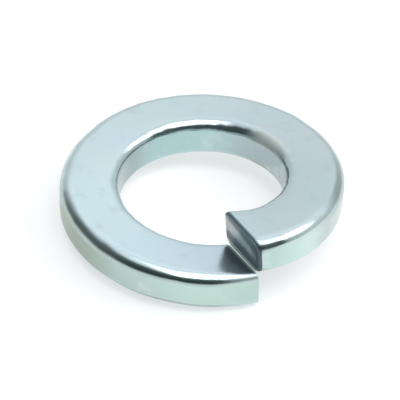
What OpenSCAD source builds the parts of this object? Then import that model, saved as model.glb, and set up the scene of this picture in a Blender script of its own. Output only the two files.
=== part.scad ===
// Spring lock washer: one left-hand turn of rounded flat spring wire, sheared through
// and sprung apart so that its two ends stand one wire thickness above each other.
// The axis is +Z, the lowest point lies at Z = 0 and the split faces -Y.

/* [Wire] */
// Radial width of the flat wire
wire_w = 3; // [2.8:0.05:3.2]
// Axial thickness of the wire at the middle of its width
wire_t = 2; // [1.8:0.05:2.2]
// Radius of the rolled upper edge along the rim
rim_edge_r = 0.6; // [0.4:0.05:0.8]
// Radius of the rolled upper edge along the bore
bore_edge_r = 0.55; // [0.4:0.05:0.8]
// Radius of the rolled lower edges
under_edge_r = 0.35; // [0.2:0.05:0.5]
// How much thicker coiling leaves the wire at the bore than at the rim
coil_swell = 0.06; // [0:0.02:0.16]

/* [Coil] */
// Bore for the bolt shank
bore_d = 8.4; // [8.1:0.1:9.2]
// Height of the raised end above the low end
end_rise = 1.9; // [1.6:0.05:2.6]
// Slope of the bearing faces up towards the rim, in degrees
dish_angle = 2; // [0:0.5:5]

/* [Split] */
// Distance, seen along the axis, from the raised end's foot to the low end's upper edge
split_gap = 0.14; // [0.12:0.02:0.6]
// Turn of the cut away from the radial line, in degrees
cut_skew = 14; // [0:1:20]
// Lean of the raised end out over the low end, in degrees from upright
raised_rake = 8; // [0:1:9]
// Lean of the low end's foot out under the raised end, in degrees from upright
low_rake = 6; // [0:1:9]
// Width of the edge that the shear rolls over round each cut end
shear_roll = 0.1; // [0.04:0.02:0.16]

/* [Smoothness] */
// Straight lengths that stand for the turn
turn_steps = 90; // [48:6:120]
// Straight lengths that stand for each rolled edge
edge_steps = 4; // [2:1:6]

/* [Hidden] */

// Zinc plate under a clear blue passivation
zinc = [0.76, 0.80, 0.82];
// A wall of the swept wire stands this far out before the bore and the rim trim it true
wall_stock = 0.04;

bore_r = bore_d / 2;
mid_r = bore_r + wire_w / 2;
rim_r = bore_r + wire_w;

// The faces taper from the bore to the rim by this angle each
face_taper = atan(coil_swell / 2 / wire_w);
// Turn of half the split, as seen from the axis
half_split = asin(split_gap / 2 / mid_r);
// Share of the coil's turn that the rolled edge of a cut end takes
roll_share = asin(shear_roll / mid_r) / (360 - 2 * half_split);
// Angle of the split's middle, on the -Y side
split_at = -90;
// A rolled edge's arc stops this many degrees short of its wall, where the true wall meets it
wall_angle = 9;

// Half the wire's thickness at x from the middle of its width
function half_t(x) = wire_t / 2 - x * tan(face_taper);

// Middle of the arc of a rolled edge. side is 1 at the rim and -1 at the bore, and level
// is 1 on the upper face and -1 on the lower one.
function edge_middle(side, level, r) =
    let (x = side * (wire_w / 2 - r))
    [x, level * (half_t(x) - r / cos(face_taper))];

// Points of one rolled edge round its middle, from one angle to another
function rolled_edge(middle, r, from, to) = [
    for (i = [0:edge_steps])
        let (a = from + (to - from) * i / edge_steps)
        middle + [r * cos(a), r * sin(a)]
];

// Outline of the wire, anticlockwise from the lower edge at the rim. inset draws it in
// all round, and stock is how far its walls stand out past the bore and the rim.
function wire_outline(inset, stock) =
    let (
        rim_foot = edge_middle(1, -1, under_edge_r),
        rim_top = edge_middle(1, 1, rim_edge_r),
        bore_top = edge_middle(-1, 1, bore_edge_r),
        bore_foot = edge_middle(-1, -1, under_edge_r),
        wall_x = wire_w / 2 - inset + stock,
        face = 90 - face_taper
    )
    concat(
        rolled_edge(rim_foot, under_edge_r - inset, -face, -wall_angle),
        [[wall_x, rim_foot[1] + stock], [wall_x, rim_top[1] - stock]],
        rolled_edge(rim_top, rim_edge_r - inset, wall_angle, face),
        rolled_edge(bore_top, bore_edge_r - inset, face, 180 - wall_angle),
        [[-wall_x, bore_top[1] - stock], [-wall_x, bore_foot[1] + stock]],
        rolled_edge(bore_foot, under_edge_r - inset, 180 + wall_angle, 360 - face)
    );

// The outline with its faces sloping up towards the rim
function dished(outline) = [for (p = outline) [p[0], p[1] + p[0] * tan(dish_angle)]];

full_outline = dished(wire_outline(0, wall_stock));
end_outline = dished(wire_outline(shear_roll, 0));
// The middle of the low end's outline lies this high, which puts its underside at Z = 0
mid_height = -min([for (p = full_outline) p[1]]) - end_rise * roll_share;

// How far round the coil a point of the wire lies ahead of its place, in millimetres, so that
// the first and last outlines lie in the planes of the cuts
function lead(p, along) =
    p[0] * tan(cut_skew)
    - (1 - along) * (wire_t / 2 + p[1]) * tan(raised_rake)
    + along * (wire_t / 2 - p[1]) * tan(low_rake);

// A point of the wire at a share of the turn, 0 at the raised end and 1 at the low one
function on_coil(p, along) =
    let (
        r = mid_r + p[0],
        a = split_at + half_split + along * (360 - 2 * half_split) + asin(lead(p, along) / r)
    )
    [r * cos(a), r * sin(a), mid_height + end_rise * (1 - along) + p[1]];

// Shares of the turn between the two rolled cut edges
shares = [for (i = [0:turn_steps]) roll_share + (1 - 2 * roll_share) * i / turn_steps];

// The coiled wire as one skin over a ring of points at each share of the turn
module coiled_wire() {
    rings = concat(
        [[for (p = end_outline) on_coil(p, 0)]],
        [for (share = shares) [for (p = full_outline) on_coil(p, share)]],
        [[for (p = end_outline) on_coil(p, 1)]]
    );
    count = len(full_outline);
    last = len(rings) - 1;
    sides = [
        for (i = [0:last - 1], j = [0:count - 1])
            let (
                k = (j + 1) % count,
                a = i * count + j,
                b = i * count + k,
                c = (i + 1) * count + k,
                d = (i + 1) * count + j
            )
            each [[a, b, c], [a, c, d]]
    ];
    raised_face = [for (j = [count - 1:-1:0]) j];
    low_face = [for (j = [0:count - 1]) last * count + j];
    polyhedron([for (ring = rings) each ring], concat([raised_face, low_face], sides));
}

// The space between the true bore and the true rim
module bore_and_rim() {
    height = mid_height + end_rise + wire_t * 2;
    difference() {
        translate([0, 0, -wire_t]) cylinder(r = rim_r, h = height + wire_t, $fn = 180);
        translate([0, 0, -2 * wire_t]) cylinder(r = bore_r, h = height + 3 * wire_t, $fn = 180);
    }
}

module lock_washer() {
    color(zinc)
        intersection() {
            coiled_wire();
            bore_and_rim();
        }
}

lock_washer();
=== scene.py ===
"""Spring lock washer: the dressed model of one left-hand turn of flat spring wire.

The wire is coiled and its ends are sheared by Geometry Nodes, the way the real washer is
made: an outline of rounded flat wire is carried round the bolt's axis, and each end is
closed by a sheared face with a rolled edge. Its finish is zinc plate under a clear blue
passivation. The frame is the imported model's: metres, +Z along the bore, the split at -Y.
"""

import logging
import math
from dataclasses import dataclass
from enum import Enum
from functools import reduce
from typing import Union

import bpy
from mathutils import Matrix, Vector


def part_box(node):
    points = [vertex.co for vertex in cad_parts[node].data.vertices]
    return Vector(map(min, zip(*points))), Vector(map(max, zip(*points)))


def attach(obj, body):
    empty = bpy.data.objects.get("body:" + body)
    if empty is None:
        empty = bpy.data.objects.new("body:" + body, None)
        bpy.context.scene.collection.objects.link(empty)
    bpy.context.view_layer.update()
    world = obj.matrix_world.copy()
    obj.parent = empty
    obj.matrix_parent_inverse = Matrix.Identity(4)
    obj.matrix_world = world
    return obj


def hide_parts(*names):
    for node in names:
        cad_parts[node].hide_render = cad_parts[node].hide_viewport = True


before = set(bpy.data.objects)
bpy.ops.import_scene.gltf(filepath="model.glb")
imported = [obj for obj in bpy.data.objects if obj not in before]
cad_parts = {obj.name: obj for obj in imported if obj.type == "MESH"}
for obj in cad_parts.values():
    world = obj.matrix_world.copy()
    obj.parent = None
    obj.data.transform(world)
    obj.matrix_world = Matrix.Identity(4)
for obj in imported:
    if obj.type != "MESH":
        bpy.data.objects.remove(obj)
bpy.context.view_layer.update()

MM = 0.001
LOG = logging.getLogger("lock_washer")
# Attribute of the wire: how far a point has turned towards the rim's wall and towards the bore's
# wall, and whether it is on the bare metal of a sheared face
SKIN = "skin"
# Attribute of the wire: where in its outline a point is, from the bore (0) to the rim (1) and from
# the top (0) to the foot (1), and how near the low end it is, up to 0.5, or how far round the
# plated edge of that end's cut, up to 1
SHEAR = "shear"

# Where the outline's edges start and end, on the zigzag that walks its faces and walls
EDGE_START = 0.25
EDGE_END = 0.75

Socket = bpy.types.NodeSocket
Value = Union[float, Socket]
Triple = tuple[float, float, float]
Colour = Triple
Paint = Union[Colour, Socket]
Pair = tuple[float, float]


class Measure(Enum):
    """A number that tells where on the washer a point is."""

    SIDE = "metres along X"
    AHEAD = "metres along Y"
    RIM = "turn of the skin towards the rim's wall"
    BORE = "turn of the skin towards the bore's wall"
    CUT = "bare metal of a sheared face"
    ACROSS = "from the bore to the rim"
    DEPTH = "from the wire's top to its foot"
    LOW_END = "near the low end, and round the edge of its cut"
    CLOUDS = "noise of the plating's clouds"
    TINTS = "noise of the plating's tints"
    MARKS = "noise of small marks"


class Formula:
    """Adds number nodes to a node tree, so that a formula reads as one."""

    def __init__(self, tree: bpy.types.NodeTree) -> None:
        """Keep the geometry or shader tree that the nodes go into."""
        self.tree = tree

    def node(self, kind: str, **settings: object) -> bpy.types.Node:
        """Add one node.

        Args:
            kind: the node's type name.
            settings: its properties, by name.

        Returns:
            The new node.
        """
        made = self.tree.nodes.new(kind)
        for name, value in settings.items():
            setattr(made, name, value)
        return made

    def feed(self, socket: Socket, value: Value) -> None:
        """Link a socket to another one, or set its value.

        Args:
            socket: the input to feed.
            value: an output socket, or a plain value.
        """
        if isinstance(value, Socket):
            self.tree.links.new(value, socket)
        else:
            socket.default_value = value

    def _math(self, operation: str, *values: Value) -> Socket:
        """Add one Math node.

        Args:
            operation: what it does.
            values: its inputs, in order.

        Returns:
            Its output socket.
        """
        made = self.node("ShaderNodeMath", operation=operation)
        for socket, value in zip(made.inputs, values):
            self.feed(socket, value)
        return made.outputs[0]

    def add(self, a: Value, b: Value) -> Socket:
        """Return a + b."""
        return self._math("ADD", a, b)

    def sub(self, a: Value, b: Value) -> Socket:
        """Return a - b."""
        return self._math("SUBTRACT", a, b)

    def mul(self, a: Value, b: Value) -> Socket:
        """Return a * b."""
        return self._math("MULTIPLY", a, b)

    def div(self, a: Value, b: Value) -> Socket:
        """Return a / b."""
        return self._math("DIVIDE", a, b)

    def larger(self, a: Value, b: Value) -> Socket:
        """Return the larger of a and b."""
        return self._math("MAXIMUM", a, b)

    def size_of(self, a: Value) -> Socket:
        """Return a without its sign."""
        return self._math("ABSOLUTE", a)

    def sign_of(self, a: Value) -> Socket:
        """Return -1, 0 or 1, as a is."""
        return self._math("SIGN", a)

    def power(self, a: Value, b: Value) -> Socket:
        """Return a to the power b."""
        return self._math("POWER", a, b)

    def sine(self, a: Value) -> Socket:
        """Return the sine of a, in radians."""
        return self._math("SINE", a)

    def cosine(self, a: Value) -> Socket:
        """Return the cosine of a, in radians."""
        return self._math("COSINE", a)

    def arcsine(self, a: Value) -> Socket:
        """Return the angle, in radians, whose sine is a."""
        return self._math("ARCSINE", a)

    def zigzag(self, a: Value) -> Socket:
        """Return -1 at whole numbers, 1 half-way between them, and straight lines between."""
        part = self._math("FRACT", a)
        return self.sub(1.0, self.mul(4.0, self.size_of(self.sub(part, 0.5))))

    def ramp(self, a: Value, low: Value, high: Value, at_low: Value, at_high: Value,
             smooth: bool = False) -> Socket:
        """Carry a from one range to another, and hold it at the ends.

        Args:
            a: the number to carry.
            low: the start of its range.
            high: the end of its range.
            at_low: the result at low.
            at_high: the result at high.
            smooth: whether the ends ease in and out.

        Returns:
            The result.
        """
        made = self.node("ShaderNodeMapRange", clamp=True,
                         interpolation_type="SMOOTHSTEP" if smooth else "LINEAR")
        for name, value in zip(("Value", "From Min", "From Max", "To Min", "To Max"),
                               (a, low, high, at_low, at_high)):
            self.feed(made.inputs[name], value)
        return made.outputs["Result"]

    def triple(self, x: Value, y: Value, z: Value) -> Socket:
        """Return the vector of x, y and z."""
        made = self.node("ShaderNodeCombineXYZ")
        for socket, value in zip(made.inputs, (x, y, z)):
            self.feed(socket, value)
        return made.outputs[0]

    def add_vectors(self, a: Value, b: Value) -> Socket:
        """Return the vector a + b."""
        made = self.node("ShaderNodeVectorMath", operation="ADD")
        self.feed(made.inputs[0], a)
        self.feed(made.inputs[1], b)
        return made.outputs[0]

    def blend(self, share: Value, first: Paint, second: Paint) -> Socket:
        """Mix two colours.

        Args:
            share: how much of the second one, from 0 to 1.
            first: the first colour.
            second: the second colour.

        Returns:
            The mixed colour.
        """
        mix = self.node("ShaderNodeMix", data_type="RGBA")
        self.feed(mix.inputs[0], share)
        for socket, value in ((mix.inputs[6], first), (mix.inputs[7], second)):
            self.feed(socket, value if isinstance(value, Socket) else (*value, 1.0))
        return mix.outputs[2]

    def noise(self, where: Value, scale: float, seed: Value, detail: float = 1.0,
              roughness: float = 0.5) -> Socket:
        """Return smooth noise from 0 to 1.

        Args:
            where: the vector to read it at.
            scale: how many bumps to the unit.
            seed: picks one of endless different patterns.
            detail: how many finer layers are laid over the first.
            roughness: how strong those layers are.

        Returns:
            The noise.
        """
        made = self.node("ShaderNodeTexNoise", noise_dimensions="4D")
        for name, value in (("Vector", where), ("W", seed), ("Scale", scale),
                            ("Detail", detail), ("Roughness", roughness)):
            self.feed(made.inputs[name], value)
        return made.outputs[0]


@dataclass(frozen=True)
class Fade:
    """How a share goes from one value to another along one measure."""

    measure: Measure
    start: float
    end: float
    at_start: float = 0.0
    at_end: float = 1.0
    smooth: bool = True


@dataclass(frozen=True)
class Patch:
    """A place with a colour of its own, as strong as the product of its fades."""

    colour: Colour
    fades: tuple[Fade, ...]


@dataclass(frozen=True)
class Pattern:
    """A pattern of smooth noise: the size of its bumps, and which one of many it is."""

    size: float
    seed: float
    detail: float
    roughness: float = 0.5


class Spot:
    """The measures of the shaded point, as sockets of one material."""

    def __init__(self, f: Formula, patterns: dict[Measure, Pattern]) -> None:
        """Add the nodes that read the measures.

        Args:
            f: the formula of the material's tree.
            patterns: the measures that are noise, and their patterns.
        """
        self.f = f
        self.place = f.node("ShaderNodeTexCoord").outputs["Object"]
        side, ahead, _ = self._parts(self.place)
        rim, bore, cut = self._parts(self._attribute(SKIN))
        across, depth, low_end = self._parts(self._attribute(SHEAR))
        self.sockets = {
            Measure.SIDE: side,
            Measure.AHEAD: ahead,
            Measure.RIM: rim,
            Measure.BORE: bore,
            Measure.CUT: cut,
            Measure.ACROSS: across,
            Measure.DEPTH: depth,
            Measure.LOW_END: low_end,
            **{measure: self.noise(pattern) for measure, pattern in patterns.items()},
        }

    def noise(self, pattern: Pattern) -> Socket:
        """Return a pattern's noise at the point, from 0 to 1."""
        return self.f.noise(self.place, 1 / pattern.size, pattern.seed, pattern.detail,
                            pattern.roughness)

    def _attribute(self, name: str) -> Socket:
        """Return the vector of an attribute of the mesh."""
        return self.f.node("ShaderNodeAttribute", attribute_name=name).outputs["Vector"]

    def _parts(self, vector: Socket) -> list[Socket]:
        """Split a vector.

        Args:
            vector: the vector's socket.

        Returns:
            The sockets of its three parts.
        """
        split = self.f.node("ShaderNodeSeparateXYZ")
        self.f.feed(split.inputs[0], vector)
        return list(split.outputs)

    def share(self, *fades: Fade) -> Socket:
        """Return the product of some fades.

        Args:
            fades: the fades to multiply.

        Returns:
            The product.
        """
        shares = [self.f.ramp(self.sockets[fade.measure], fade.start, fade.end, fade.at_start,
                              fade.at_end, fade.smooth) for fade in fades]
        return reduce(self.f.mul, shares)

    def lay(self, patch: Patch, colour: Paint) -> Socket:
        """Return the colour with a patch laid over it."""
        return self.f.blend(self.share(*patch.fades), colour, patch.colour)


@dataclass(frozen=True)
class ShearedFace:
    """Bare metal of a cut, with its light and shade painted into its colour: painted shade over
    most of it, a lighter band of painted reflection along the shear, a painted lighter band at its
    top, a painted dark band at its rim, and torn matt metal at its foot, painted pale.
    """

    # Painted shade: the cut's metal is coloured nearly black for the shade that it sits in and
    # reflects
    metal: Colour = (0.135, 0.165, 0.18)
    # Painted reflection: a lighter band along the shear
    painted_reflection_streak: Colour = (0.48, 0.52, 0.52)
    # Depth of the middle of the band of painted reflection, and half its width, at the bore and at
    # the rim
    streak_middle: Pair = (0.38, 0.50)
    streak_half: Pair = (0.22, 0.10)
    streak_blur: Pair = (-0.12, 0.08)
    streak_end: Fade = Fade(Measure.ACROSS, 0.70, 0.92, 1.0, 0.3)
    torn: Pattern = Pattern(0.5 * MM, 31.0, 2.0)
    torn_wander: float = 0.2
    # Painted light: a lighter band along the top of the cut
    top: Patch = Patch((0.28, 0.38, 0.42), (Fade(Measure.DEPTH, 0.03, 0.16, 1.0, 0.0),))
    # Torn matt metal at the foot of the cut; its pale colour is painted light, lifting it out of
    # the shade it sits in
    foot: Patch = Patch((0.78, 0.92, 0.86), (Fade(Measure.DEPTH, 0.82, 0.92),))
    # Painted shade: a dark band along the cut's edge at the rim
    rim: Patch = Patch((0.10, 0.13, 0.15), (Fade(Measure.ACROSS, 0.90, 0.97),))
    foot_end: Fade = Fade(Measure.ACROSS, 0.88, 0.96, 1.0, 0.0, smooth=False)
    foot_matt: float = 0.9

    def colour(self, spot: Spot) -> Socket:
        """Colour the face.

        Args:
            spot: the measures of the shaded point.

        Returns:
            The colour.
        """
        f = spot.f
        middle = spot.share(Fade(Measure.ACROSS, 0.0, 1.0, *self.streak_middle, smooth=False))
        half = spot.share(Fade(Measure.ACROSS, 0.0, 1.0, *self.streak_half, smooth=False))
        off = f.add(f.size_of(f.sub(spot.sockets[Measure.DEPTH], middle)),
                    f.mul(f.sub(spot.noise(self.torn), 0.5), self.torn_wander))
        painted_reflection_streak = f.mul(f.ramp(f.sub(off, half), *self.streak_blur, 1.0, 0.0, smooth=True),
                       spot.share(self.streak_end))
        face = f.blend(painted_reflection_streak, self.metal, self.painted_reflection_streak)
        # Painted light at the top, the torn foot painted pale, and painted shade at the rim
        for patch in (self.top, self.foot, self.rim):
            face = spot.lay(patch, face)
        return face

    def matt(self, spot: Spot) -> Socket:
        """Return how matt the torn foot of the face makes it, from 0 to 1."""
        return spot.f.mul(spot.share(*self.foot.fades, self.foot_end), self.foot_matt)


@dataclass(frozen=True)
class ZincPlate:
    """Zinc plate under a clear blue passivation, on rolled spring wire."""

    body: Colour = (0.76, 0.82, 0.84)
    # Tints of the faces
    face_tints: tuple[Patch, ...] = (
        Patch((0.70, 0.84, 0.82), (Fade(Measure.TINTS, 0.46, 0.66, 0.0, 0.6),)),
        Patch((0.72, 0.81, 0.88), (Fade(Measure.CLOUDS, 0.42, 0.64, 0.0, 0.6),)),
        Patch((0.76, 0.86, 0.94), (Fade(Measure.AHEAD, -1 * MM, -5 * MM, 0.0, 0.9),
                                   Fade(Measure.SIDE, -1 * MM, 1.5 * MM, 1.0, 0.1))),
        Patch((0.80, 0.93, 0.97), (Fade(Measure.SIDE, -1.5 * MM, -4.5 * MM, 0.0, 0.75),
                                   Fade(Measure.AHEAD, 0.0, 4 * MM, 1.0, 0.3))),
    )
    # The rim's wall, from the far left round to the far right: a green-grey tone with painted
    # shade that darkens it on the left, painted light that pales it towards the right, and painted
    # shade again at the far right
    rim: Colour = (0.31, 0.37, 0.30)
    rim_tints_and_painted_shading: tuple[Patch, ...] = (
        Patch((0.45, 0.56, 0.535), (Fade(Measure.SIDE, -7.1 * MM, -5.8 * MM, smooth=False),)),
        Patch((0.515, 0.67, 0.61), (Fade(Measure.SIDE, -5.8 * MM, -3.0 * MM, smooth=False),)),
        Patch((0.46, 0.64, 0.58), (Fade(Measure.SIDE, 0.3 * MM, 0.8 * MM, smooth=False),)),
        Patch((0.70, 0.82, 0.80), (Fade(Measure.SIDE, 0.9 * MM, 4.2 * MM, smooth=False),)),
        Patch((0.46, 0.54, 0.51), (Fade(Measure.SIDE, 2.8 * MM, 4.6 * MM),)),
    )
    # The bore's wall, at its middle and then at the right and at the left: a green tone darkened
    # by painted shade for the shade in the bore, and darker still at the right and at the left
    bore: Colour = (0.415, 0.59, 0.59)
    bore_tints_and_painted_shade: tuple[Patch, ...] = (
        Patch((0.37, 0.44, 0.45), (Fade(Measure.SIDE, 1.5 * MM, 4 * MM),)),
        Patch((0.355, 0.415, 0.415), (Fade(Measure.SIDE, -1.0 * MM, -2.8 * MM),)),
    )
    smudge: Patch = Patch((0.66, 0.71, 0.75), (Fade(Measure.MARKS, 0.52, 0.72, 0.0, 0.5),))
    # Painted shade: a dark band on the rim's upper edge at the right
    painted_shade_right_edge: Patch = Patch((0.38, 0.44, 0.43), (
        Fade(Measure.SIDE, 4.4 * MM, 5.6 * MM, 0.0, 0.85),
        Fade(Measure.AHEAD, -0.5 * MM, -4.2 * MM, 0.2, 1.0),
        Fade(Measure.RIM, 0.02, 0.22),
        Fade(Measure.RIM, 0.5, 0.8, 1.0, 0.15, smooth=False),
    ))
    # Dry matt film on the edge of the bore at the right
    film: Patch = Patch((0.62, 0.66, 0.62), (
        Fade(Measure.SIDE, 1.5 * MM, 3.5 * MM),
        Fade(Measure.AHEAD, 2.9 * MM, 1.6 * MM),
        Fade(Measure.AHEAD, -0.8 * MM, 0.8 * MM),
        Fade(Measure.BORE, 0.02, 0.25, smooth=False),
        Fade(Measure.BORE, 0.8, 0.96, 1.0, 0.0, smooth=False),
    ))
    film_tint: float = 0.7
    film_matt: float = 0.75
    film_roughness: float = 0.22
    # Painted shade: a dark band along the rim's rounded edges, where they turn into its wall,
    # deepening the dark line that the upper edge reflects
    painted_shade_band: Patch = Patch((0.20, 0.25, 0.23), (
        Fade(Measure.RIM, 0.5, 0.72),
        Fade(Measure.RIM, 0.72, 1.0, 0.75, 0.0, smooth=False),
        Fade(Measure.LOW_END, 0.0, 0.5, 1.0, 0.0, smooth=False),
        Fade(Measure.SIDE, -6.6 * MM, -4.5 * MM, 0.15, 1.0, smooth=False),
        Fade(Measure.SIDE, 0.2 * MM, 1.0 * MM, 1.0, 0.2, smooth=False),
    ))
    # Rubbed edge of the low end's cut: partly a burnished tone, partly painted shade that greys
    # the light the edge reflects
    burnish_and_painted_shade: Patch = Patch((0.60, 0.70, 0.66),
                           (Fade(Measure.LOW_END, 0.52, 0.75, smooth=False),))
    # Turn of the skin over which a wall's colour comes, and how much of it there is
    wall_cover: tuple[float, float, float, float] = (0.2, 1.0, 0.0, 0.95)
    cut_cover: Fade = Fade(Measure.CUT, 0.02, 0.2, smooth=False)
    sheared: ShearedFace = ShearedFace()
    roughness: float = 0.18
    cut_roughness: float = 0.38
    # What is rougher than the rest: each product of fades adds to the roughness
    rougher: tuple[tuple[Fade, ...], ...] = (
        (Fade(Measure.MARKS, 0.3, 0.75, 0.0, 0.07, smooth=False),),
        (Fade(Measure.LOW_END, 0.0, 0.5, 0.0, 0.22, smooth=False),
         Fade(Measure.RIM, 0.15, 0.5, 0.2, 1.0, smooth=False)),
        (Fade(Measure.LOW_END, 0.5, 0.8, 0.0, 0.22, smooth=False),),
        (Fade(Measure.SIDE, -5.0 * MM, -6.4 * MM, 0.0, 0.10),
         Fade(Measure.RIM, 0.02, 0.3, smooth=False)),
    )
    clouds: Pattern = Pattern(2.6 * MM, 3.0, 2.0, 0.45)
    tints: Pattern = Pattern(2.6 / 0.6 * MM, 11.0, 1.0)
    marks: Pattern = Pattern(2.6 / 2.1 * MM, 23.0, 3.0, 0.6)
    grain: Pattern = Pattern(0.12 * MM, 5.0, 3.0, 0.6)
    grain_height: float = 0.0006 * MM
    grain_strength: float = 0.5

    def make(self, name: str) -> bpy.types.Material:
        """Build the finish as a material.

        Args:
            name: the material's name.

        Returns:
            The material.
        """
        material = bpy.data.materials.new(name)
        material.use_nodes = True
        tree = material.node_tree
        f = Formula(tree)
        spot = Spot(f, {Measure.CLOUDS: self.clouds, Measure.TINTS: self.tints,
                        Measure.MARKS: self.marks})
        filmed = spot.share(*self.film.fades)
        on_cut = spot.share(self.cut_cover)
        shader = tree.nodes["Principled BSDF"]
        f.feed(shader.inputs["Base Color"], self._colour(spot, filmed, on_cut))
        f.feed(shader.inputs["Roughness"], self._roughness(spot, filmed, on_cut))
        matt = f.larger(f.mul(on_cut, self.sheared.matt(spot)), f.mul(filmed, self.film_matt))
        f.feed(shader.inputs["Metallic"], f.sub(1.0, matt))
        bump = f.node("ShaderNodeBump")
        bump.inputs["Strength"].default_value = self.grain_strength
        bump.inputs["Distance"].default_value = self.grain_height
        f.feed(bump.inputs["Height"], spot.noise(self.grain))
        f.feed(shader.inputs["Normal"], bump.outputs["Normal"])
        return material

    def _colour(self, spot: Spot, filmed: Socket, on_cut: Socket) -> Socket:
        """Colour the faces, the walls with their painted shading, the marks of wear and of painted
        shade, and the sheared faces with their painted light and shade.

        Args:
            spot: the measures of the shaded point.
            filmed: how thick the dry film is.
            on_cut: how far the point is on a sheared face.

        Returns:
            The colour.
        """
        f = spot.f
        colour = self.body
        for patch in self.face_tints:
            colour = spot.lay(patch, colour)
        # The walls, with their tints and their painted shading
        for measure, wall, tints in ((Measure.RIM, self.rim, self.rim_tints_and_painted_shading),
                                     (Measure.BORE, self.bore, self.bore_tints_and_painted_shade)):
            for patch in tints:
                wall = spot.lay(patch, wall)
            cover = spot.share(Fade(measure, *self.wall_cover, smooth=False))
            colour = f.blend(cover, colour, wall)
        # Random smudges, then the painted shade on the rim's edge at the right
        for patch in (self.smudge, self.painted_shade_right_edge):
            colour = spot.lay(patch, colour)
        colour = f.blend(f.mul(filmed, self.film_tint), colour, self.film.colour)
        # The band of painted shade along the rim's edges, then the rubbed low end's edge with its
        # painted shade
        for patch in (self.painted_shade_band, self.burnish_and_painted_shade):
            colour = spot.lay(patch, colour)
        return f.blend(on_cut, colour, self.sheared.colour(spot))

    def _roughness(self, spot: Spot, filmed: Socket, on_cut: Socket) -> Socket:
        """Work out the roughness.

        Args:
            spot: the measures of the shaded point.
            filmed: how thick the dry film is.
            on_cut: how far the point is on a sheared face.

        Returns:
            The roughness.
        """
        f = spot.f
        rough = f.add(self.roughness, f.mul(filmed, self.film_roughness))
        for fades in self.rougher:
            rough = f.add(rough, spot.share(*fades))
        return f.add(rough, f.mul(on_cut, self.cut_roughness - self.roughness))


@dataclass(frozen=True)
class Wear:
    """A stretch where an edge is wider, in shares of the turn and of the edge's radius."""

    growth: float
    comes: Pair
    goes: Pair
    eased_in: bool = False

    def share(self, f: Formula, along: Value) -> Socket:
        """Return how far the wear is on at a share of the turn, from 0 to 1."""
        return f.mul(f.ramp(along, *self.comes, 0.0, 1.0, self.eased_in),
                     f.ramp(along, *self.goes, 1.0, 0.0))


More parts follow.
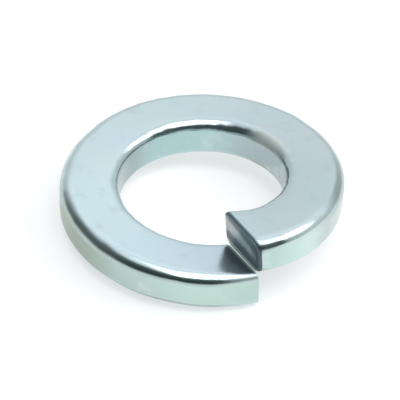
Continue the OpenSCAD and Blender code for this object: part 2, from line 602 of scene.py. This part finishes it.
@dataclass
class SprungWire:
    """The coiled wire of the washer, in metres and radians.

    The wire, its coil and the radii of its edges have the solid's sizes. The split, its cuts and
    their rolled edges follow the photo instead, and so do the changes of the edges along the wire.
    """

    bore_r: float = 4.2 * MM
    wire_w: float = 3.0 * MM
    wire_t: float = 2.0 * MM
    rim_edge_r: float = 0.60 * MM
    bore_edge_r: float = 0.55 * MM
    under_edge_r: float = 0.35 * MM
    coil_swell: float = 0.06 * MM
    end_rise: float = 1.9 * MM
    dish_angle: float = math.radians(2)
    split_gap: float = 0.026 * MM
    raised_skew: float = math.radians(9.6)
    low_skew: float = math.radians(10.8)
    raised_rake: float = math.radians(6.6)
    low_rake: float = math.radians(3.5)
    shear_roll: float = 0.16 * MM
    shear_burr: float = 0.04 * MM
    face_hollow: float = 0.02 * MM
    edge_wander: float = 0.42
    # How far the wire's middle stands above the middle of the solid's height
    lift: float = 0.010 * MM
    # Share of the grid's length for each end, and the rolled edge's share of that
    end_share: float = 0.06
    roll_share: float = 0.35
    # At the raised end and at the low one: how closely the rolled edge keeps to the top, its width
    # as a share of the full one, and whether it is plated
    roll_focus: Pair = (1.0, 3.0)
    roll_widths: Pair = (1.0, 0.45)
    plated_edge: Pair = (0.0, 1.0)
    # Shrink of the end's outline over which the plated edge turns into the face
    plated_fade: Pair = (0.98, 1.0)
    # Shares of the turn over which the ends change the edges, and the growth of each edge there,
    # below 0 where it is narrower
    raised_reach: Pair = (0.0, 0.06)
    low_reach: Pair = (0.945, 0.985)
    low_rim_growth: float = -0.35
    raised_rim_growth: float = 0.08
    raised_bore_growth: float = -0.55
    raised_under_growth: float = 0.5
    rim_wear: Wear = Wear(0.2, (0.50, 0.62), (0.77, 0.89), eased_in=True)
    bore_wear: Wear = Wear(0.14, (0.285, 0.362), (0.362, 0.46))
    wander_bumps: float = 26.0
    rings: int = 440
    outline_points: int = 128
    weld: float = 0.0001 * MM
    seed: float = 7.0
    node: str = "lock_washer"

    def __post_init__(self) -> None:
        """Work out the sizes that follow from the others."""
        self.mid_r = self.bore_r + self.wire_w / 2
        self.half_split = math.asin(self.split_gap / 2 / self.mid_r)
        self.face_taper = self.coil_swell / 2 / self.wire_w

    def inputs(self) -> dict[str, float]:
        """Return the tree's named inputs and their values."""
        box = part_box(self.node)
        return {
            "Mid Radius": self.mid_r,
            "Wire Width": self.wire_w,
            "Wire Thickness": self.wire_t,
            "Rim Edge Radius": self.rim_edge_r,
            "Bore Edge Radius": self.bore_edge_r,
            "Under Edge Radius": self.under_edge_r,
            "Face Taper": self.face_taper,
            "End Rise": self.end_rise,
            "Dish Slope": math.tan(self.dish_angle),
            "Half Split": self.half_split,
            "Raised Skew": math.tan(self.raised_skew),
            "Low Skew": math.tan(self.low_skew),
            "Raised Rake": math.tan(self.raised_rake),
            "Low Rake": math.tan(self.low_rake),
            "Shear Roll": self.shear_roll,
            "Shear Burr": self.shear_burr,
            "Face Hollow": self.face_hollow,
            "Edge Wander": self.edge_wander,
            "Mid Height": (box[0][2] + box[1][2] - self.end_rise) / 2 + self.lift,
            "Seed": self.seed,
        }

    def build(self) -> bpy.types.Object:
        """Build the wire as one closed mesh.

        Returns:
            The washer's object, with its place in its mesh.
        """
        finish = ZincPlate().make("zinc_plate")
        carrier = bpy.data.objects.new("coil_carrier", bpy.data.meshes.new("coil_carrier"))
        bpy.context.scene.collection.objects.link(carrier)
        modifier = carrier.modifiers.new("coil", "NODES")
        modifier.node_group = self._tree(finish)
        values = self.inputs()
        for item in modifier.node_group.interface.items_tree:
            if item.in_out == "INPUT" and item.name in values:
                modifier[item.identifier] = values[item.name]
        graph = bpy.context.evaluated_depsgraph_get()
        mesh = bpy.data.meshes.new_from_object(carrier.evaluated_get(graph))
        carrier.modifiers.remove(modifier)
        bpy.data.objects.remove(carrier)
        mesh.name = "washer"
        washer = bpy.data.objects.new("washer", mesh)
        bpy.context.scene.collection.objects.link(washer)
        return washer

    def _tree(self, finish: bpy.types.Material) -> bpy.types.GeometryNodeTree:
        """Build the node tree that coils and shears the wire.

        Args:
            finish: the material of the wire.

        Returns:
            The tree.
        """
        tree = bpy.data.node_groups.new("coil_wire", "GeometryNodeTree")
        face = tree.interface
        face.new_socket("Geometry", in_out="OUTPUT", socket_type="NodeSocketGeometry")
        for name in self.inputs():
            face.new_socket(name, in_out="INPUT", socket_type="NodeSocketFloat")
        f = Formula(tree)
        given = f.node("NodeGroupInput").outputs

        # A grid of 1 by 1 round the origin: across it the wire's outline, up it the wire's length
        grid = f.node("GeometryNodeMeshGrid")
        grid.inputs["Size X"].default_value = 1.0
        grid.inputs["Size Y"].default_value = 1.0
        grid.inputs["Vertices X"].default_value = self.outline_points + 1
        grid.inputs["Vertices Y"].default_value = self.rings
        split = f.node("ShaderNodeSeparateXYZ")
        f.feed(split.inputs[0], f.node("GeometryNodeInputPosition").outputs[0])
        around = f.add(split.outputs["X"], 0.5)
        length = f.add(split.outputs["Y"], 0.5)

        place, marks = self._coiled(f, given, around, length)
        geometry = grid.outputs["Mesh"]
        for name, value in marks.items():
            tag = f.node("GeometryNodeStoreNamedAttribute", data_type="FLOAT_VECTOR",
                         domain="POINT")
            tag.inputs["Name"].default_value = name
            f.feed(tag.inputs["Value"], value)
            f.feed(tag.inputs["Geometry"], geometry)
            geometry = tag.outputs["Geometry"]
        bend = f.node("GeometryNodeSetPosition")
        f.feed(bend.inputs["Geometry"], geometry)
        f.feed(bend.inputs["Position"], place)
        close = f.node("GeometryNodeMergeByDistance")
        close.inputs["Distance"].default_value = self.weld
        f.feed(close.inputs["Geometry"], bend.outputs["Geometry"])
        smooth = f.node("GeometryNodeSetShadeSmooth")
        f.feed(smooth.inputs["Geometry"], close.outputs["Geometry"])
        real = f.node("GeometryNodeRealizeInstances")
        f.feed(real.inputs["Geometry"], smooth.outputs["Geometry"])
        paint = f.node("GeometryNodeSetMaterial")
        paint.inputs["Material"].default_value = finish
        f.feed(paint.inputs["Geometry"], real.outputs["Geometry"])
        out = f.node("NodeGroupOutput")
        f.feed(out.inputs["Geometry"], paint.outputs["Geometry"])
        return tree

    def _edge(self, f: Formula, given: bpy.types.NodeOutputs, along: Value, side: Value,
              level: Value, near_low: Value) -> Socket:
        """Work out the radius of the edge that a point belongs to.

        Args:
            f: the formula of the tree.
            given: the tree's inputs.
            along: place along the wire, from 0 at the raised end to 1 at the low one.
            side: 1 on the rim's side and -1 on the bore's.
            level: 1 on the top's half and -1 on the foot's.
            near_low: how near the low end the point is, from 0 to 1.

        Returns:
            The radius.
        """
        on_top = f.larger(level, 0.0)
        under = f.larger(f.sub(0.0, level), 0.0)
        rim_top = f.mul(f.larger(side, 0.0), on_top)
        bore_top = f.mul(f.larger(f.sub(0.0, side), 0.0), on_top)
        rolled = f.ramp(level, -1.0, 1.0, given["Under Edge Radius"],
                        f.ramp(side, -1.0, 1.0, given["Bore Edge Radius"],
                               given["Rim Edge Radius"]))
        bumps = f.triple(0.0, 0.0, f.mul(along, self.wander_bumps))
        wander = f.noise(f.add_vectors(f.triple(side, level, 0.0), bumps), 1.0, given["Seed"])
        swing = f.mul(f.sub(wander, 0.5), given["Edge Wander"])
        near_raised = f.ramp(along, *self.raised_reach, 1.0, 0.0, True)
        rim_growth = f.mul(rim_top, f.add(f.mul(near_low, self.low_rim_growth),
                                          f.mul(near_raised, self.raised_rim_growth)))
        other_growth = f.mul(near_raised, f.add(f.mul(bore_top, self.raised_bore_growth),
                                                f.mul(under, self.raised_under_growth)))
        ends = f.add(f.add(1.0, rim_growth), other_growth)
        edge = f.mul(f.mul(rolled, ends), f.add(1.0, swing))
        rim_worn = f.mul(rim_top, self.rim_wear.share(f, along))
        bore_worn = f.mul(bore_top, self.bore_wear.share(f, along))
        worn = f.add(f.mul(self.rim_wear.growth, rim_worn),
                     f.mul(self.bore_wear.growth, bore_worn))
        return f.mul(edge, f.add(1.0, worn))

    def _coiled(self, f: Formula, given: bpy.types.NodeOutputs, around: Value, length: Value
                ) -> tuple[Socket, dict[str, Socket]]:
        """Carry the flat grid's points onto the coiled wire.

        Args:
            f: the formula of the tree.
            given: the tree's inputs.
            around: place on the wire's outline, from 0 to 1.
            length: place along the wire with both end faces, from 0 to 1.

        Returns:
            The position of each point, and its attributes by name.
        """
        low_start = 1.0 - self.end_share
        at_raised = f.ramp(length, 0.0, self.end_share, 1.0, 0.0)
        at_low = f.ramp(length, low_start, 1.0, 0.0, 1.0)
        along = f.ramp(length, self.end_share, low_start, 0.0, 1.0)
        end = f.larger(at_raised, at_low)
        roll = f.ramp(end, 0.0, self.roll_share, 0.0, math.pi / 2)
        shrink = f.ramp(end, self.roll_share, 1.0, 1.0, 0.0)

        # Outline: a rounded flat wire, walked at even steps on faces, walls and edges. Its height
        # follows the same zigzag as its width, a quarter of the way on
        across = f.zigzag(around)
        upward = f.zigzag(f.add(around, 0.25))
        turn = f.ramp(f.size_of(across), EDGE_START, EDGE_END, 0.0, math.pi / 2)
        side = f.sign_of(across)
        level = f.sign_of(upward)
        near_low = f.ramp(along, *self.low_reach, 0.0, 1.0, True)
        edge = self._edge(f, given, along, side, level, near_low)
        out_n = f.mul(f.sine(turn), side)
        up_n = f.mul(f.cosine(turn), level)

        # The shear rolls the raised end's top and rim edges over, and the low end's top edge
        top = f.power(f.larger(up_n, 0.0), f.ramp(along, 0.0, 1.0, *self.roll_focus))
        soft = f.add(top, f.mul(f.larger(out_n, 0.0), f.sub(1.0, along)))
        full = f.mul(given["Shear Roll"], f.ramp(along, 0.0, 1.0, *self.roll_widths))
        width = f.add(given["Shear Burr"], f.mul(soft, full))
        inset = f.mul(width, f.sub(1.0, f.cosine(roll)))
        setback = f.mul(width, f.sub(1.0, f.sine(roll)))
        half_w = f.mul(given["Wire Width"], 0.5)
        half_t = f.mul(given["Wire Thickness"], 0.5)
        x = f.add(f.mul(f.ramp(across, -EDGE_START, EDGE_START, -1.0, 1.0), f.sub(half_w, edge)),
                  f.mul(f.sub(edge, inset), out_n))
        y = f.add(f.mul(f.ramp(upward, -EDGE_START, EDGE_START, -1.0, 1.0), f.sub(half_t, edge)),
                  f.mul(f.sub(edge, inset), up_n))
        x = f.mul(x, shrink)
        y = f.mul(y, shrink)

        # Coiling swells the wire at the bore, and dishes its faces up towards the rim
        thin = f.div(f.mul(given["Face Taper"], x), half_t)
        y = f.add(f.mul(y, f.sub(1.0, thin)), f.mul(x, given["Dish Slope"]))

        # Each cut leans out over the split from the edge that faces the other end
        raised = f.mul(f.mul(f.add(half_t, y), given["Raised Rake"]), f.sub(along, 1.0))
        low = f.mul(f.mul(f.sub(half_t, y), given["Low Rake"]), along)
        skew = f.ramp(along, 0.0, 1.0, given["Raised Skew"], given["Low Skew"])
        lead = f.add(f.add(raised, low), f.mul(x, skew))
        hollow = f.mul(given["Face Hollow"], f.sub(1.0, f.mul(shrink, shrink)))
        back = f.mul(f.add(setback, hollow), f.sub(1.0, f.mul(2.0, along)))
        radius = f.add(given["Mid Radius"], x)
        start = f.add(-math.pi / 2, given["Half Split"])
        whole = f.sub(2 * math.pi, f.mul(2.0, given["Half Split"]))
        ahead = f.arcsine(f.div(f.add(lead, back), radius))
        angle = f.add(f.add(start, f.mul(along, whole)), ahead)
        height = f.add(f.add(given["Mid Height"], y), f.mul(given["End Rise"], f.sub(1.0, along)))

        wall = f.ramp(f.size_of(across), EDGE_START, EDGE_END, 0.0, 1.0)
        plated = f.mul(f.ramp(along, 0.0, 1.0, *self.plated_edge),
                       f.ramp(shrink, *self.plated_fade, 0.0, 1.0))
        rolled = f.sine(roll)
        marks = {
            SKIN: f.triple(f.mul(wall, f.larger(side, 0.0)),
                           f.mul(wall, f.larger(f.sub(0.0, side), 0.0)),
                           f.mul(rolled, f.sub(1.0, plated))),
            SHEAR: f.triple(f.add(0.5, f.div(f.mul(x, 0.5), half_w)),
                            f.sub(0.5, f.div(f.mul(y, 0.5), half_t)),
                            f.add(f.mul(near_low, 0.5), f.mul(f.mul(rolled, plated), 0.5))),
        }
        place = f.triple(f.mul(radius, f.cosine(angle)), f.mul(radius, f.sine(angle)), height)
        return place, marks

    def dress(self, washer: bpy.types.Object) -> None:
        """Ride the washer on its body, in place of the solid.

        Args:
            washer: the object that build() made.
        """
        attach(washer, "root")
        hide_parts(self.node)


@dataclass(frozen=True)
class PaleFloor:
    """A plain matt floor, which the camera and the metal see as white."""

    paint: Colour = (0.58, 0.58, 0.58)
    roughness: float = 0.9
    # Glow that only the camera and the metal see, on top of the lit paint
    glow: float = 0.52

    def make(self, name: str) -> bpy.types.Material:
        """Build the floor's material.

        Args:
            name: the material's name.

        Returns:
            The material.
        """
        material = bpy.data.materials.new(name)
        material.use_nodes = True
        tree = material.node_tree
        f = Formula(tree)
        shader = tree.nodes["Principled BSDF"]
        shader.inputs["Base Color"].default_value = (*self.paint, 1.0)
        shader.inputs["Roughness"].default_value = self.roughness
        shader.inputs["Specular IOR Level"].default_value = 0.0
        seen = f.node("ShaderNodeLightPath").outputs
        shown = f.larger(f.larger(seen["Is Camera Ray"], seen["Is Glossy Ray"]),
                         seen["Is Transmission Ray"])
        shader.inputs["Emission Color"].default_value = (1.0, 1.0, 1.0, 1.0)
        f.feed(shader.inputs["Emission Strength"], f.mul(shown, self.glow))
        return material


@dataclass(frozen=True)
class Lamp:
    """One soft lamp, facing straight down.

    Its place is to the right, away and up, and its size to the right and away, as the camera
    heads.
    """

    name: str
    place: Triple
    size: Pair
    radiance: float

    def hang(self, heading: float) -> bpy.types.Object:
        """Add the lamp.

        Args:
            heading: the camera's turn round +Z, in radians.

        Returns:
            The lamp's object.
        """
        light = bpy.data.lights.new(self.name, "AREA")
        light.shape = "RECTANGLE"
        light.size, light.size_y = self.size
        light.energy = self.radiance * math.pi * self.size[0] * self.size[1]
        lamp = bpy.data.objects.new(self.name, light)
        lamp.location = Matrix.Rotation(heading, 3, "Z") @ Vector(self.place)
        lamp.rotation_euler = (0.0, 0.0, heading)
        bpy.context.scene.collection.objects.link(lamp)
        LOG.info("lamp %s", self.name)
        return lamp


@dataclass
class Studio:
    """The pale floor, the soft lamps and the room round the washer."""

    heading: float
    floor_half: float = 1.2
    backdrop_low: Colour = (0.62, 0.67, 0.68)
    backdrop_high: Colour = (0.84, 0.93, 0.96)
    ceiling: Colour = (0.70, 0.78, 0.80)
    dark: Colour = (0.056, 0.074, 0.072)
    # Heights, as shares of straight up, over which the backdrop pales and the ceiling starts
    backdrop_rise: Pair = (0.45, 0.75)
    ceiling_start: Pair = (0.76, 0.90)
    # Towards the middle of the pale side, as the camera heads, and the soft edge of the dark side,
    # in cosines from there
    light_towards: Triple = (0.42, 0.91, 0.0)
    dark_edge: Pair = (-0.02, 0.26)
    lamps: tuple[Lamp, ...] = (
        Lamp("window", (0.0435, -0.099, 0.30), (0.219, 0.252), 2.7),
        Lamp("side_window", (0.327, 0.005, 0.30), (0.246, 0.25), 2.7),
    )

    def build(self) -> None:
        """Add the floor, the room and the lamps."""
        self._floor()
        self._room()
        for lamp in self.lamps:
            lamp.hang(self.heading)

    def _floor(self) -> None:
        """Lay the floor under the washer."""
        half = self.floor_half
        mesh = bpy.data.meshes.new("floor")
        mesh.from_pydata([(-half, -half, 0), (half, -half, 0), (half, half, 0), (-half, half, 0)],
                         [], [(0, 1, 2, 3)])
        mesh.materials.append(PaleFloor().make("pale_floor"))
        floor = bpy.data.objects.new("floor", mesh)
        bpy.context.scene.collection.objects.link(floor)
        LOG.info("floor laid")

    def _room(self) -> None:
        """Paint the room: a pale backdrop behind the washer, and dark on the camera's side."""
        world = bpy.data.worlds.new("room")
        bpy.context.scene.world = world
        world.use_nodes = True
        tree = world.node_tree
        f = Formula(tree)
        towards = f.node("ShaderNodeTexCoord").outputs["Generated"]
        parts = f.node("ShaderNodeSeparateXYZ")
        f.feed(parts.inputs[0], towards)
        facing = f.node("ShaderNodeVectorMath", operation="DOT_PRODUCT")
        f.feed(facing.inputs[0], towards)
        turned = Matrix.Rotation(self.heading, 3, "Z") @ Vector(self.light_towards).normalized()
        facing.inputs[1].default_value = turned
        backdrop = f.blend(f.ramp(parts.outputs["Z"], *self.backdrop_rise, 0.0, 1.0),
                           self.backdrop_low, self.backdrop_high)
        room = f.blend(f.ramp(facing.outputs["Value"], *self.dark_edge, 0.0, 1.0, True),
                       self.dark, backdrop)
        room = f.blend(f.ramp(parts.outputs["Z"], *self.ceiling_start, 0.0, 1.0, True),
                       room, self.ceiling)
        f.feed(tree.nodes["Background"].inputs["Color"], room)
        LOG.info("room painted")


@dataclass
class PhotoCamera:
    """The camera of the photograph, as a fit of the washer's outline found it."""

    azimuth: float = math.radians(-22.8)
    elevation: float = math.radians(37.98)
    roll: float = math.radians(3.76)
    distance: float = 79.44 * MM
    focal_px: float = 1557.5
    centre_px: Pair = (201.36, 188.9)
    image_px: float = 400.0
    sensor_width: float = 36.0
    clip: Pair = (1 * MM, 10.0)

    def build(self, target: Vector) -> bpy.types.Object:
        """Add the camera and make it the scene's own.

        Args:
            target: the point that the photograph is centred on.

        Returns:
            The camera's object.
        """
        lens = bpy.data.cameras.new("photo_camera")
        lens.sensor_fit = "HORIZONTAL"
        lens.sensor_width = self.sensor_width
        lens.lens = self.focal_px * self.sensor_width / self.image_px
        lens.shift_x = (self.image_px / 2 - self.centre_px[0]) / self.image_px
        lens.shift_y = (self.centre_px[1] - self.image_px / 2) / self.image_px
        lens.clip_start, lens.clip_end = self.clip
        a, e = self.azimuth, self.elevation
        back = Vector((math.sin(a) * math.cos(e), -math.cos(a) * math.cos(e), math.sin(e)))
        level = Vector((math.cos(a), math.sin(a), 0.0))
        above = back.cross(level)
        right = level * math.cos(self.roll) + above * math.sin(self.roll)
        up = above * math.cos(self.roll) - level * math.sin(self.roll)
        camera = bpy.data.objects.new("photo_camera", lens)
        camera.matrix_world = Matrix.Translation(target + back * self.distance) @ Matrix(
            (right, up, back)).transposed().to_4x4()
        bpy.context.scene.collection.objects.link(camera)
        bpy.context.scene.camera = camera
        return camera


def main() -> None:
    """Build the washer, the studio and the camera."""
    logging.basicConfig(level=logging.INFO, format="%(name)s: %(message)s")
    bpy.context.scene.view_settings.view_transform = "Standard"
    wire = SprungWire()
    washer = wire.build()
    wire.dress(washer)
    LOG.info("washer: %d points, %d faces", len(washer.data.vertices), len(washer.data.polygons))
    camera = PhotoCamera()
    Studio(heading=camera.azimuth).build()
    camera.build(Vector((0.0, 0.0, (wire.end_rise + wire.wire_t) / 2)))
    LOG.info("camera placed")


if __name__ == "__main__":
    main()
